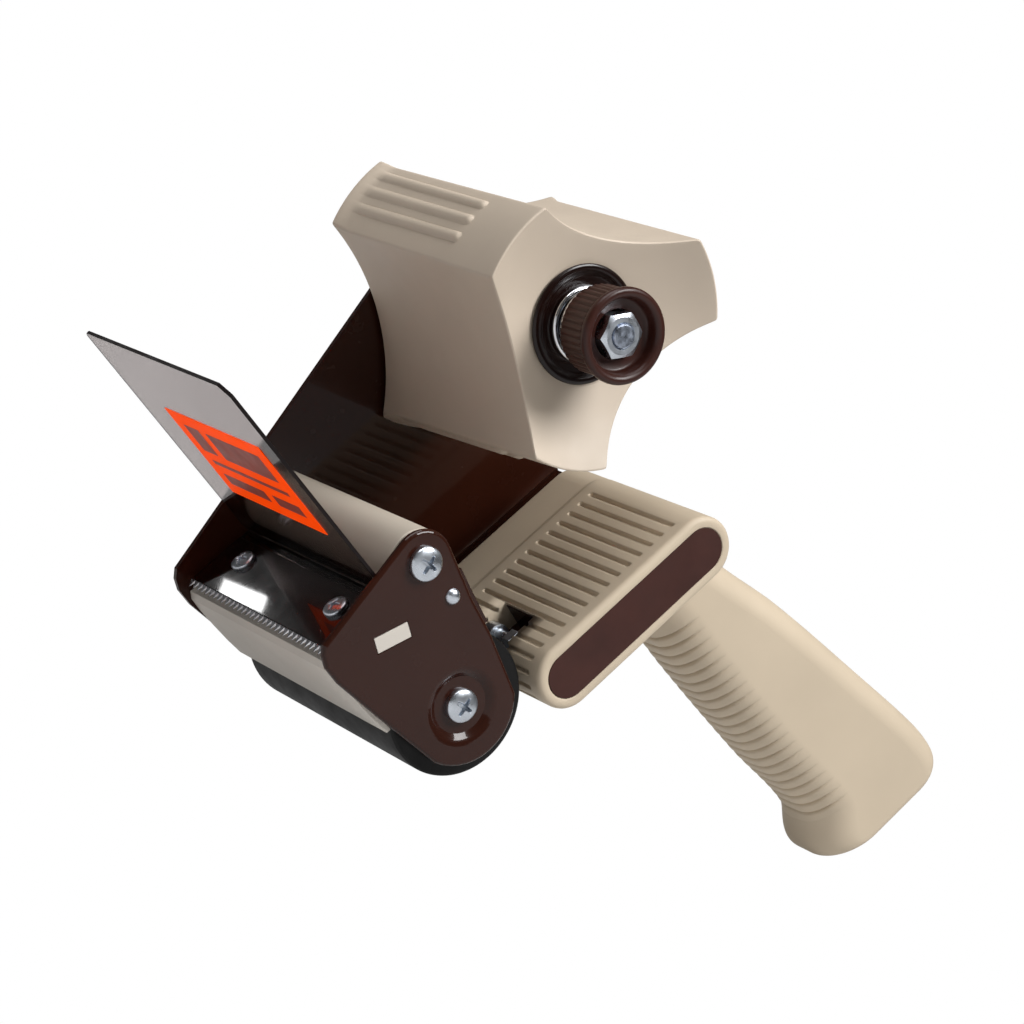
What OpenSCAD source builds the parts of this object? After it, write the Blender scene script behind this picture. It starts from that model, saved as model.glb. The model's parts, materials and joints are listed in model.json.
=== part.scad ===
// Hand-held packing tape dispenser for rolls 75 mm wide on a 3-inch core.
// Every module is drawn in the gun's own axes: X runs from the head back to the
// handle, Y across the tape, Z up, and the hub axis passes through the origin.
// stand() then leans the whole dispenser onto its rubber roller and the toe of
// its grip, with the origin on the floor under the middle of the object.

/* [Tape hub] */
// Width of the hub along its axle
hub_width = 75.6; // [60:0.1:76]
// Radius of the hub's lobes at the open side
hub_radius_near = 36.8; // [34:0.1:38]
// Radius of the hub's lobes next to the side plate
hub_radius_far = 39; // [34:0.1:40]
// Radius of the hub's hollow sides, measured at their middle
hub_waist = 22.5; // [18:0.1:26]
// Half of the angle that one lobe spans
lobe_half_angle = 17.2; // [12:0.1:24]
// Angle of the first lobe above the rearward axis
lobe_angle = 103; // [0:1:120]

/* [Frame] */
// Clear width between the two cheeks
clear_width = 78; // [77:0.5:84]
// Thickness of the sheet steel
sheet = 1.6; // [1:0.1:2]

/* [Rollers] */
// Radius of the upper guide roller
guide_roller_radius = 8.1; // [6:0.1:8.6]
// Radius of the rubber application roller
rubber_radius = 19.5; // [17:0.1:19.6]
// Radius of both roller axles
axle_radius = 4; // [3:0.1:5]
// Radial running clearance of whatever turns
running_gap = 0.06; // [0.03:0.01:0.09]

/* [Blade] */
// Number of teeth along the blade
tooth_count = 33; // [20:1:40]
// Length of one tooth
tooth_length = 2; // [1:0.1:3]

/* [Flap] */
// Height of the smoky flap above its fold
flap_height = 74.6; // [40:0.1:76]
// Thickness of the flap
flap_thick = 1; // [0.6:0.1:1.4]

/* [Handle] */
// Height of the handle block that the side plate's flange sits in
block_height = 18.3; // [16:0.1:20]
// Width of the pistol grip
grip_width = 30; // [26:0.5:34]
// Wall of the hollow grip
grip_wall = 3.2; // [2.5:0.1:5]

/* [Hidden] */
$fn = 64;

inner = clear_width / 2;
outer = inner + sheet;

// Places in the gun's side view, [x, z]
upper_axle_at = [-74, -14.7];
lower_axle_at = [-85.8, -53.8];
cheek_end_radius = 16;
cheek_top_radius = 8.4;
sleeve_near = -37.2;
sleeve_far = 38.2;
dish_radius = 9.8;
dish_inset = 1.4;

// Blade plate, lying level under the cheeks' front edge
blade_top = -17.3;
blade_thick = 0.8;
foot_thick = 0.6;
bed_top = blade_top - blade_thick - foot_thick;
blade_tip_x = -107.7;
blade_back_x = -88.2;
fold_x = -85;
flap_half = 38;
screw_x = -94.6;
screw_y = 24.6;

// Tabs of the tape guide, which show through slots in both cheeks
tab_at = [-91.3, -24.8];
tab_length = 10;
tab_height = 4.2;
tab_slope = -16;

// Bolt, knob and brake along the hub axis, as distances from its middle
bolt_radius = 3.175;
thread_gap = 0.03;
dish_depth = 10.8;
hub_near = -hub_width / 2;
hub_far = hub_width / 2;
hub_floor = hub_near + dish_depth;
brake_disc_radius = 15.7;
brake_disc_back = hub_floor - 0.25;
brake_disc_front = brake_disc_back - 3;
brake_disc_recess = 0.9;
spring_radius = 9.4;
wire_radius = 0.8;
spring_turns = 2.5;
knob_front = -48.4;
knob_back = -38.4;
knob_ring_radius = 12.5;
knob_body_radius = 11.6;
knob_well = 4.2;
knob_well_radius = 9.8;
knob_skirt = 2.85;
knob_skirt_bore = 10.65;
washer_thick = 0.8;
nut_width = 11.1;
nut_thick = 5.6;

// Handle block: a stadium in side view
block_top = -60;
block_front = -66.5;
block_back = 2;
block_near = -outer;
block_far = 22.6;
block_r = block_height / 2;
block_mid = block_top - block_r;
flange_z = block_mid;
tang_bolt_at = [-58.4, -63.6];
handle_screw_x = [-44, -28];

// Levels of the pistol grip from the block down to its butt: [z, front, back]
grip_levels = [[-70, -21.5, 0], [-100, -18.2, 9.8], [-122, -16, 18.4], [-160, -10.4, 30],
    [-188, -5.2, 38], [-198, -8.8, 39.4], [-202, -8.2, 38.4], [-204.6, -4, 35]];
toe_at = [-8.2, -202];
heel_at = [35, -204.6];

// Lean of the gun when it rests on its rubber roller and its toe, and the place
// of the hub axis over the floor under the middle of the whole object
flap_lean = -4.9;
rest_run = toe_at - lower_axle_at;
lean = atan2(rest_run[1], rest_run[0]) + asin(rubber_radius / norm(rest_run));
fold_z = bed_top + foot_thick;
flap_tip = fold_x * cos(lean) + fold_z * sin(lean) - flap_thick / 2 * cos(lean + flap_lean)
    + flap_height * sin(lean + flap_lean);
heel_back = heel_at[0] * cos(lean) + heel_at[1] * sin(lean);
bolt_head_end = outer + 5.4;
hub_x = -(flap_tip + heel_back) / 2;
hub_y = -(knob_front + bolt_head_end) / 2;
hub_z = rubber_radius + lower_axle_at[0] * sin(lean) - lower_axle_at[1] * cos(lean);

function on_circle(r, a) = [r * cos(a), r * sin(a)];
function arc(c, r, from, to, n) =
    [for (i = [0:n]) c + on_circle(r, from + (to - from) * i / n)];

module stand() {
    translate([hub_x, hub_y, hub_z]) rotate([0, lean, 0]) children();
}

// Extrudes a side-view outline across the gun
module across(y0, y1) {
    translate([0, y1, 0]) rotate([90, 0, 0]) linear_extrude(y1 - y0) children();
}

module rod(at, y0, y1, r) {
    across(y0, y1) translate(at) circle(r);
}

module tube(at, y0, y1, r, bore) {
    across(y0, y1) translate(at) difference() {
        circle(r);
        circle(bore);
    }
}

module hexagon(width) {
    circle(width / 2 / cos(30), $fn = 6);
}

// Pan head with a cross recess, pointing to -Y from the face at y = 0
module pan_head(r, h) {
    rotate([90, 0, 0]) difference() {
        intersection() {
            cylinder(h = h, r = r);
            translate([0, 0, h - r * 1.7]) sphere(r * 1.7);
        }
        translate([0, 0, h - 0.9]) for (a = [45, 135])
            rotate([0, 0, a]) translate([-r * 0.55, -0.45, 0]) cube([r * 1.1, 0.9, 1]);
    }
}

// Outline of a head cheek, with the round end about the lower axle
module cheek_outline() {
    polygon(concat(
        arc(upper_axle_at, cheek_top_radius, -10, 107, 10),
        [[-107, -13.4], [-108.8, -15.6], [-109.8, -19], [-109.4, -24.6], [-105.7, -39.5]],
        arc(lower_axle_at, cheek_end_radius, 208, 330, 14),
        [[-68.9, -43.2], [-68.2, -32.5]]));
}

// Outline of the long side plate: the cheek, carried on to the hub and the handle
module plate_outline() {
    cheek_outline();
    polygon(concat(
        arc([0, 0], 17, -6, 106.5, 12),
        [[-107, -13.4], [-100, -30], [-80, -60], [-62, flange_z - sheet / 2],
         [1, flange_z - sheet / 2]]));
}

module frame_holes() {
    translate(upper_axle_at) circle(2.1);
    translate(lower_axle_at) circle(2.1);
    tab_outline(0.15);
}

module tab_outline(gap) {
    translate(tab_at) rotate(tab_slope)
        square([tab_length + 2 * gap, tab_height + 2 * gap], center = true);
}

// Cone about the lower axle, from the near face of a cheek inwards
module dish_cone(y0, y1, r0, r1) {
    translate([lower_axle_at[0], y1, lower_axle_at[1]]) rotate([90, 0, 0])
        cylinder(h = y1 - y0, r1 = r1, r2 = r0);
}

// Near cheek, with a shallow round dish pressed in about the lower axle
module near_cheek() {
    difference() {
        union() {
            across(-outer, -inner) difference() {
                cheek_outline();
                frame_holes();
            }
            dish_cone(-outer, dish_inset - inner, dish_radius + 0.6, dish_radius - 1.6);
        }
        dish_cone(-outer - 0.1, dish_inset - outer, dish_radius, dish_radius - 2.2);
        rod(lower_axle_at, -outer - 1, 3 - inner, 2.1);
    }
}

// Sheet-steel frame: side plate, near cheek, the wall that joins them behind
// the rollers, and the flange that the handle block is slid onto
module side_frame() {
    color([0.22, 0.08, 0.06]) stand() {
        across(inner, outer) difference() {
            plate_outline();
            frame_holes();
            circle(bolt_radius + 0.1);
        }
        near_cheek();
        across(-inner, inner) polygon([[-66, -24], [-66.9, -32.5], [-67.6, -41],
            [-69.2, -41], [-68.5, -32.5], [-67.6, -24]]);
        difference() {
            translate([-60, block_near + 8, flange_z - sheet / 2])
                cube([60, inner - block_near - 8, sheet]);
            handle_screw_holes(1.9);
        }
    }
}

module blade_screw_holes(r) {
    for (y = [-screw_y, screw_y])
        translate([screw_x, y, bed_top - 4]) cylinder(h = 8, r = r);
}

// Cross plate between the cheeks that the blade and the flap's foot lie on
module blade_bed() {
    color([0.18, 0.07, 0.05]) stand() difference() {
        translate([-104.6, -inner, bed_top - sheet]) cube([18.6, clear_width, sheet]);
        blade_screw_holes(1.6);
    }
}

// Toothed blade plate
module cutting_blade() {
    half = 37;
    pitch = 2 * half / tooth_count;
    root_x = blade_tip_x + tooth_length;
    teeth = [for (i = [0:tooth_count - 1]) each
        [[root_x, -half + i * pitch], [blade_tip_x, -half + (i + 0.5) * pitch]]];
    color([0.2, 0.1, 0.09]) stand() difference() {
        translate([0, 0, blade_top - blade_thick]) linear_extrude(blade_thick)
            polygon(concat(teeth, [[root_x, half], [blade_back_x, half], [blade_back_x, -half]]));
        blade_screw_holes(1.75);
    }
}

module blade_screws() {
    color([0.75, 0.76, 0.78]) stand() for (y = [-screw_y, screw_y])
        translate([screw_x, y, blade_top]) {
            rotate([-90, 0, 0]) pan_head(3.4, 1.8);
            translate([0, 0, bed_top - sheet - blade_top - 0.4])
                cylinder(h = blade_top - bed_top + sheet + 0.5, r = 1.55);
        }
}

// Flat foot of the flap, clamped between the blade and its bed
module flap_foot() {
    color([0.35, 0.32, 0.31, 0.7]) stand() difference() {
        translate([-103, -flap_half, bed_top])
            cube([103 + fold_x - 0.05, 2 * flap_half, foot_thick]);
        blade_screw_holes(1.75);
    }
}

// Upright leaf of the flap, leaning a little forward, with its near corner cut
module on_flap() {
    translate([fold_x, 0, fold_z]) rotate([0, flap_lean, 0]) children();
}

// Its root narrows to the fold, so that it clears the foot when it bends forward
module flap_leaf() {
    corner = 3.2;
    color([0.35, 0.32, 0.31, 0.5]) stand() on_flap() intersection() {
        translate([flap_thick / 2, 0, 0]) rotate([0, -90, 0]) linear_extrude(flap_thick)
            polygon([[0, -flap_half], [0, flap_half], [flap_height, flap_half],
                [flap_height, corner - flap_half], [flap_height - corner, -flap_half]]);
        across(-flap_half - 1, flap_half + 1)
            polygon([[0, 0.05], [flap_thick, 0.05], [flap_thick, flap_height + 1],
                [-flap_thick, flap_height + 1], [-flap_thick, 1.9]]);
    }
}

module flap_label() {
    color([0.98, 0.36, 0.05]) stand() on_flap()
        translate([-flap_thick / 2 - 0.2, -29, 21]) cube([0.2, 50, 31]);
}

// Curved guide that leads the tape from the blade down to the rubber roller
module tape_guide() {
    color([0.78, 0.72, 0.63]) stand() {
        across(-inner, inner) polygon([[-84, -27.6], [-96, -23.6], [-104.5, -21.1],
            [-107.4, -21], [-108.4, -23], [-108.2, -28], [-107.5, -34], [-106.7, -40],
            [-105.7, -45.4], [-104.3, -45.4], [-105, -40], [-105.5, -34], [-105.8, -28],
            [-105.8, -24.6], [-104, -24.1], [-96, -26.4], [-84.6, -30]]);
        for (side = [-1, 1])
            across(side > 0 ? inner : -outer, side > 0 ? outer : -inner) tab_outline(0);
    }
}

module upper_axle() {
    color("silver") stand() tube(upper_axle_at, -inner, inner, axle_radius, 1.7);
}

module lower_axle() {
    color("silver") stand()
        tube(lower_axle_at, dish_inset - inner, inner, axle_radius, 1.7);
}

// Pan-head screw that holds an axle, with its head on the face at y
module axle_screw(at, y) {
    translate([at[0], y, at[1]]) rotate([0, 0, y > 0 ? 180 : 0]) {
        pan_head(4.5, 2.6);
        rotate([-90, 0, 0]) translate([0, 0, -0.1]) cylinder(h = 12, r = 1.65);
    }
}

module upper_axle_screws() {
    color([0.8, 0.82, 0.85]) stand() {
        axle_screw(upper_axle_at, -outer);
        axle_screw(upper_axle_at, outer);
    }
}

module lower_axle_screws() {
    color([0.8, 0.82, 0.85]) stand() {
        axle_screw(lower_axle_at, dish_inset - outer);
        axle_screw(lower_axle_at, outer);
    }
}

// Thin nylon washers between the rollers' ends and the cheeks
module roller_washers() {
    bore = axle_radius + running_gap;
    color("white") stand() {
        tube(upper_axle_at, -inner, 1 - inner, 6.4, bore);
        tube(upper_axle_at, inner - 1, inner, 6.4, bore);
        tube(lower_axle_at, dish_inset - inner, dish_inset + 0.3 - inner, 6.2, bore);
        tube(lower_axle_at, inner - 0.7, inner, 6.2, bore);
    }
}

// Smooth plastic roller that leads the tape off the roll
module guide_roller() {
    half = inner - 1.2;
    color([0.8, 0.74, 0.65]) stand()
        tube(upper_axle_at, -half, half, guide_roller_radius, axle_radius + running_gap);
}

module roller_core() {
    color([0.75, 0.7, 0.6]) stand()
        tube(lower_axle_at, sleeve_near, sleeve_far, 14, axle_radius + running_gap);
}

module rubber_sleeve() {
    color([0.08, 0.08, 0.08]) stand()
        tube(lower_axle_at, sleeve_near, sleeve_far, rubber_radius, 14);
}

// Hex bolt through the side plate that carries the hub, the brake and the knob
module hub_bolt() {
    color([0.78, 0.79, 0.82]) stand() {
        rod([0, 0], knob_front + 0.6, outer + 1.3, bolt_radius);
        across(outer + 1.2, bolt_head_end) hexagon(nut_width);
    }
}

module bolt_washer() {
    color("silver") stand() tube([0, 0], outer, outer + 1.2, 8, bolt_radius);
}

module lock_nut() {
    color("silver") stand() across(inner - nut_thick, inner) difference() {
        hexagon(nut_width);
        circle(bolt_radius);
    }
}

// The three round hollows between the hub's lobes; grow makes the hub thicker
module hub_hollows(y0, y1, grow) {
    corner = 60 - lobe_half_angle;
    rim = (hub_radius_near + hub_radius_far) / 2;
    reach = (rim * rim - hub_waist * hub_waist) / (2 * (rim * cos(corner) - hub_waist));
    for (i = [0:2])
        rod(on_circle(reach, lobe_angle + 60 + 120 * i), y0 - 1, y1 + 1,
            reach - hub_waist - grow, $fn = 128);
}

// Cone along the hub axis between two distances, with a radius at each
module hub_cone(y0, y1, r0, r1) {
    translate([0, y1, 0]) rotate([90, 0, 0]) cylinder(h = y1 - y0, r1 = r1, r2 = r0, $fn = 96);
}

module lobed_drum(y0, y1, grow) {
    slope = (hub_radius_far - hub_radius_near) / hub_width;
    difference() {
        hub_cone(y0, y1, hub_radius_near + (y0 - hub_near) * slope + grow,
            hub_radius_near + (y1 - hub_near) * slope + grow);
        hub_hollows(y0, y1, grow);
    }
}

// Low flare at the lobes' ends that stops the core against the side plate
module hub_flare() {
    flare = 6;
    difference() {
        hub_cone(hub_far - flare, hub_far, hub_radius_far - 0.3, hub_radius_far + 1.6);
        hub_hollows(hub_far - flare, hub_far, 0);
    }
}

module dish_ball(grow) {
    ball = (hub_radius_near * hub_radius_near + dish_depth * dish_depth) / (2 * dish_depth);
    translate([0, hub_floor - ball, 0]) sphere(ball + grow, $fn = 256);
}

// Tape hub: a hollow three-lobed moulding with a dished face and a middle boss
module core_hub() {
    wall = 2.6;
    rib_from = -17.3;
    rib_rise = 0.9;
    color([0.8, 0.74, 0.65]) stand() {
        difference() {
            union() {
                lobed_drum(hub_near, hub_far, 0);
                hub_flare();
            }
            dish_ball(0);
            difference() {
                lobed_drum(hub_near + 1, hub_far + 1, -wall);
                dish_ball(wall);
                rod([0, 0], hub_near, inner - nut_thick - 0.4, 8);
            }
            rod([0, 0], hub_near, hub_far + 1, 5);
        }
        intersection() {
            difference() {
                lobed_drum(rib_from, hub_far, rib_rise);
                lobed_drum(rib_from - 1, hub_far + 1, -0.5);
            }
            for (i = [0:2], j = [-1:1]) rotate([0, -(lobe_angle - 2 + 120 * i + 8.2 * j), 0])
                translate([hub_radius_near - 4, rib_from, -1.5])
                    cube([8, hub_far - rib_from, 3]);
        }
    }
}

// Bushing pressed into the hub's boss, running on the bolt
module hub_bushing() {
    color([0.9, 0.88, 0.82]) stand()
        tube([0, 0], hub_floor, inner - nut_thick - 0.4, 5, bolt_radius + running_gap);
}

// Brown dished disc that the spring presses against the hub
module brake_disc() {
    color([0.27, 0.13, 0.1]) stand() difference() {
        intersection() {
            rod([0, 0], brake_disc_front, brake_disc_back + 0.1, brake_disc_radius);
            dish_ball(-0.25);
        }
        rod([0, 0], brake_disc_front - 1, brake_disc_front + brake_disc_recess,
            brake_disc_radius - 1.6);
        rod([0, 0], brake_disc_front - 1, brake_disc_back + 1, bolt_radius + 0.08);
    }
}

// Open coil spring between the disc and the knob, swept round the bolt
module brake_spring() {
    rings = 50;
    sides = 8;
    start = brake_disc_front + brake_disc_recess - wire_radius - 0.05;
    end = knob_back + washer_thick + wire_radius + 0.05;
    function coil(k, s) =
        let (a = 360 * spring_turns * k / rings, r = spring_radius + wire_radius * cos(360 * s / sides))
        [r * cos(a), start + (end - start) * k / rings + wire_radius * sin(360 * s / sides), r * sin(a)];
    points = [for (k = [0:rings], s = [0:sides - 1]) coil(k, s)];
    walls = [for (k = [0:rings - 1], s = [0:sides - 1])
        [k * sides + s, (k + 1) * sides + s, (k + 1) * sides + (s + 1) % sides,
         k * sides + (s + 1) % sides]];
    color([0.85, 0.86, 0.88]) stand() polyhedron(points, concat(walls,
        [[for (s = [0:sides - 1]) s], [for (s = [0:sides - 1]) rings * sides + sides - 1 - s]]));
}

module thrust_washer() {
    color([0.85, 0.86, 0.88]) stand()
        tube([0, 0], knob_back, knob_back + washer_thick, 10.3, bolt_radius + 0.08);
}

// Knurled knob with a rolled front ring, a well for the nut, and a skirt round
// the washer and the end of the spring
module knob() {
    ridges = 40;
    back = knob_back - 0.05;
    color([0.3, 0.13, 0.1]) stand() difference() {
        union() {
            across(knob_front + 2.6, back + knob_skirt) union() {
                circle(knob_body_radius - 0.3);
                for (i = [0:ridges - 1]) rotate(360 * i / ridges)
                    translate([knob_body_radius - 0.5, 0]) square(0.9, center = true);
            }
            rod([0, 0], knob_front, knob_front + 2.6, knob_ring_radius);
        }
        rod([0, 0], knob_front - 1, knob_front + knob_well, knob_well_radius);
        across(knob_front, knob_front + 1.2 + nut_thick) hexagon(nut_width);
        rod([0, 0], knob_front, back + 1, bolt_radius + 0.1);
        rod([0, 0], back, back + knob_skirt + 1, knob_skirt_bore);
    }
}

module knob_nut() {
    color([0.8, 0.82, 0.85]) stand()
        across(knob_front + 1.2, knob_front + 1.2 + nut_thick) difference() {
            hexagon(nut_width);
            circle(bolt_radius + thread_gap);
        }
}

module stadium(grow) {
    for (x = [block_front + block_r, block_back - block_r])
        translate([x, block_mid]) circle(block_r + grow);
    translate([block_front + block_r, block_mid - block_r - grow])
        square([block_back - block_front - 2 * block_r, 2 * (block_r + grow)]);
}

module handle_screw_holes(r) {
    for (x = handle_screw_x)
        translate([x, -9, block_mid - block_r - 1]) cylinder(h = block_r + 5, r = r);
}

// One level of the grip, a rectangle with its front rounded more than its back
module grip_slab(level) {
    for (side = [1, 2], y = [-1, 1]) {
        round = side == 1 ? 12 : 8.5;
        x = side == 1 ? level[1] + round : level[2] - round;
        translate([x, y * (grip_width / 2 - round), level[0]])
            cylinder(h = 0.1, r = round, $fn = 32);
    }
}

module grip_solid() {
    for (i = [0:len(grip_levels) - 2]) hull() {
        grip_slab(grip_levels[i]);
        grip_slab(grip_levels[i + 1]);
    }
}

module grip_cavity() {
    half = grip_width / 2 - grip_wall - 0.8;
    across(-half, half) polygon([[-16, -82], [-11, -122], [-5.4, -160], [-1, -187],
        [-1, -198], [34.6, -198], [34.2, -188], [26.4, -160], [14.6, -122], [0.6, -82]]);
}

// Handle: the ribbed block that slides onto the flange, and the pistol grip
module handle() {
    color([0.82, 0.76, 0.67]) stand() difference() {
        union() {
            across(block_near, block_far) stadium(0);
            grip_solid();
            for (i = [0:11]) translate([-48 + 3.8 * i - 0.9, -35, block_top - 0.5])
                cube([1.8, 37, 1.1]);
        }
        grip_cavity();
        across(block_near - 1, block_near + 1) label_outline(0.1);
        translate([-60.2, block_near + 7.8, flange_z - sheet / 2 - 0.1])
            cube([60.4, block_far - block_near - 6, sheet + 0.2]);
        translate([-67, -23, block_top - 7.5]) cube([16.7, 14.2, 9]);
        handle_screw_holes(1.9);
        for (x = handle_screw_x)
            translate([x, -9, block_mid - block_r - 1]) cylinder(h = 3.6, r = 3.6);
        rod(tang_bolt_at, -30, -2, 2.1);
    }
}

module label_outline(gap) {
    for (x = [-57.2, -7.2]) translate([x, block_mid]) circle(6.2 + gap);
    translate([-57.2, block_mid - 6.2 - gap]) square([50, 12.4 + 2 * gap]);
}

module label_plate() {
    color([0.27, 0.14, 0.11]) stand() across(block_near + 0.1, block_near + 1) label_outline(0);
}

// Two pan-head screws that hold the block to the flange from below
module handle_screws() {
    color("silver") stand() for (x = handle_screw_x)
        translate([x, -9, block_mid - block_r + 2.6]) {
            rotate([90, 0, 0]) pan_head(3.4, 2);
            cylinder(h = block_r + 0.4, r = 1.8);
        }
}

// Short bolt that lies across the notch in the front of the block
module tang_bolt() {
    color("silver") stand() {
        rod(tang_bolt_at, -29, -9.2, 2);
        across(-13.4, -9.2) translate(tang_bolt_at) circle(3.2);
    }
}

module tang_nut() {
    color("silver") stand() across(-22.8, -19.6) translate(tang_bolt_at) difference() {
        hexagon(6.4);
        circle(2);
    }
}

side_frame();
blade_bed();
cutting_blade();
blade_screws();
flap_foot();
flap_leaf();
flap_label();
tape_guide();
upper_axle();
lower_axle();
upper_axle_screws();
lower_axle_screws();
roller_washers();
guide_roller();
roller_core();
rubber_sleeve();
hub_bolt();
bolt_washer();
lock_nut();
core_hub();
hub_bushing();
brake_disc();
brake_spring();
thrust_washer();
knob();
knob_nut();
handle();
label_plate();
handle_screws();
tang_bolt();
tang_nut();
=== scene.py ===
import json
import math

import bmesh
import bpy
from mathutils import Matrix, Vector


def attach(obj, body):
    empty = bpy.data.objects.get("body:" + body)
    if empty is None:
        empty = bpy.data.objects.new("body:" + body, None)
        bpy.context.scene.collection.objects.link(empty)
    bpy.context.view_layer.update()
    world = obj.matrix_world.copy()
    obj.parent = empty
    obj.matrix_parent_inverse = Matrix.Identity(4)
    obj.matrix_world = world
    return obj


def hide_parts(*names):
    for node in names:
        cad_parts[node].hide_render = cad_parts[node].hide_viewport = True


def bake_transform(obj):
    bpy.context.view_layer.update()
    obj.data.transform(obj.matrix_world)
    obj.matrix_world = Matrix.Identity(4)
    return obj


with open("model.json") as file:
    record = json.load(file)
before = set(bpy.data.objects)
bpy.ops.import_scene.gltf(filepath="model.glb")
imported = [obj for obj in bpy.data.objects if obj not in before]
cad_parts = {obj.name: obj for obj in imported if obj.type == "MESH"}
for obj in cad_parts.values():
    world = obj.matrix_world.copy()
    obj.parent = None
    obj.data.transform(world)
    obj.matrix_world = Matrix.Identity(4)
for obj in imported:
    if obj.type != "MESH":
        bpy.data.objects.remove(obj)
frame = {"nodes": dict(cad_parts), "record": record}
bpy.context.scene.view_settings.view_transform = "Standard"
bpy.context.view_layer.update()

# ---------------------------------------------------------------- gun frame
# Pieces are drawn in the gun's own axes, in millimetres: X runs from the head
# back to the handle, Y across the tape, Z up, with the hub axis at the origin.
# GUN turns them into the row frame, as the record's joints place them.
JOINTS = {joint["name"]: joint for joint in frame["record"]["behaviour"]["joints"]}
HUB = Vector(JOINTS["hub_spin"]["pos_m"])
UPPER = Vector(JOINTS["guide_roller_spin"]["pos_m"])
# The axles of the guide roller and the rubber roller and the tape guide's tab are at
# these places in the side view. The near cheek's outer face is at CHEEK_FACE along Y.
UPPER_AT = (-74.0, -14.7)
LOWER_AT = (-85.8, -53.8)
TAB_AT = (-91.3, -24.8)
CHEEK_FACE = -40.6
DISH_FLOOR = -39.2
LEAN = math.atan2(UPPER_AT[1], UPPER_AT[0]) - math.atan2(UPPER.z - HUB.z, UPPER.x - HUB.x)
GUN = Matrix.Translation(HUB) @ Matrix.Rotation(LEAN, 4, "Y") @ Matrix.Scale(0.001, 4)


def turned(angle):
    """Unit vector in the side view, at an angle above the rearward axis."""
    return math.cos(math.radians(angle)), math.sin(math.radians(angle))


def smoothstep(low, high, value):
    t = min(max((value - low) / (high - low), 0.0), 1.0)
    return t * t * (3 - 2 * t)


def spread(low, high, count):
    return [low + (high - low) * i / (count - 1) for i in range(count)]


# ---------------------------------------------------------------- materials
def rgb(red, green, blue):
    """A display colour from 0 to 255 as the linear colour that shaders take."""
    linear = []
    for value in (red, green, blue):
        v = value / 255
        linear.append(v / 12.92 if v <= 0.04045 else ((v + 0.055) / 1.055) ** 2.4)
    return (*linear, 1.0)


def shades(colour, factor):
    return (*[min(c * factor, 1.0) for c in colour[:3]], 1.0)


class Finish:
    """A material with its principled shader and the object's coordinates."""

    def __init__(self, name, roughness, metallic=0.0, coat=0.0, coat_roughness=0.05):
        self.material = bpy.data.materials.new(name)
        self.material.use_nodes = True
        self.nodes = self.material.node_tree.nodes
        self.links = self.material.node_tree.links
        self.shader = self.nodes["Principled BSDF"]
        self.place = self.nodes.new("ShaderNodeTexCoord")
        self.set("Roughness", roughness)
        self.set("Metallic", metallic)
        self.set("Coat Weight", coat)
        self.set("Coat Roughness", coat_roughness)

    def set(self, socket, value):
        self.shader.inputs[socket].default_value = value

    def noise(self, scale, detail=3.0, stretch=(1, 1, 1)):
        mapping = self.nodes.new("ShaderNodeMapping")
        mapping.inputs["Scale"].default_value = stretch
        texture = self.nodes.new("ShaderNodeTexNoise")
        texture.inputs["Scale"].default_value = scale
        texture.inputs["Detail"].default_value = detail
        self.links.new(self.place.outputs["Object"], mapping.inputs["Vector"])
        self.links.new(mapping.outputs["Vector"], texture.inputs["Vector"])
        return texture.outputs["Fac"]

    def ramp(self, source, stops):
        ramp = self.nodes.new("ShaderNodeValToRGB")
        elements = ramp.color_ramp.elements
        while len(elements) < len(stops):
            elements.new(0.5)
        for element, (place, colour) in zip(elements, stops):
            element.position = place
            element.color = colour
        self.links.new(source, ramp.inputs["Fac"])
        return ramp.outputs["Color"]

    def colour(self, base, contrast=0.08, scale=45.0):
        """Base colour with a soft mottle, darker and lighter by the contrast."""
        stops = [(0.3, shades(base, 1 - contrast)), (0.7, shades(base, 1 + contrast))]
        self.links.new(self.ramp(self.noise(scale), stops), self.shader.inputs["Base Color"])

    def gloss(self, low, high, scale=160.0):
        """Roughness that wanders between two values."""
        grey = [(0.3, (low, low, low, 1)), (0.7, (high, high, high, 1))]
        self.links.new(self.ramp(self.noise(scale), grey), self.shader.inputs["Roughness"])

    def grain(self, scale, depth, stretch=(1, 1, 1)):
        """Fine surface relief, its depth in millimetres."""
        bump = self.nodes.new("ShaderNodeBump")
        bump.inputs["Strength"].default_value = 1.0
        bump.inputs["Distance"].default_value = depth / 1000
        self.links.new(self.noise(scale, 4.0, stretch), bump.inputs["Height"])
        self.links.new(bump.outputs["Normal"], self.shader.inputs["Normal"])


def moulded_beige(name, base):
    finish = Finish(name, 0.5)
    finish.colour(base, 0.04, 30.0)
    finish.gloss(0.44, 0.56)
    finish.grain(2600.0, 0.012)
    finish.set("Specular IOR Level", 0.4)
    return finish.material


def moulded_brown(name, base, low, high):
    finish = Finish(name, 0.35)
    finish.colour(base, 0.14, 90.0)
    finish.gloss(low, high)
    finish.grain(1800.0, 0.01)
    finish.set("Specular IOR Level", 0.35)
    return finish.material


def enamel(name, base, coat):
    finish = Finish(name, 0.25, coat=coat, coat_roughness=0.03)
    finish.colour(base, 0.12, 25.0)
    finish.gloss(0.2, 0.28)
    finish.grain(300.0, 0.001)
    finish.set("Specular IOR Level", 0.1)
    return finish.material


def plated(name, base, low, high):
    finish = Finish(name, 0.25, metallic=1.0)
    finish.colour(base, 0.1, 260.0)
    finish.gloss(low, high, 400.0)
    finish.grain(1500.0, 0.004)
    return finish.material


def worn_zinc():
    finish = Finish("worn_zinc", 0.4, metallic=1.0)
    finish.colour(rgb(168, 176, 190), 0.45, 900.0)
    finish.gloss(0.2, 0.5, 700.0)
    finish.grain(900.0, 0.05)
    return finish.material


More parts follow.
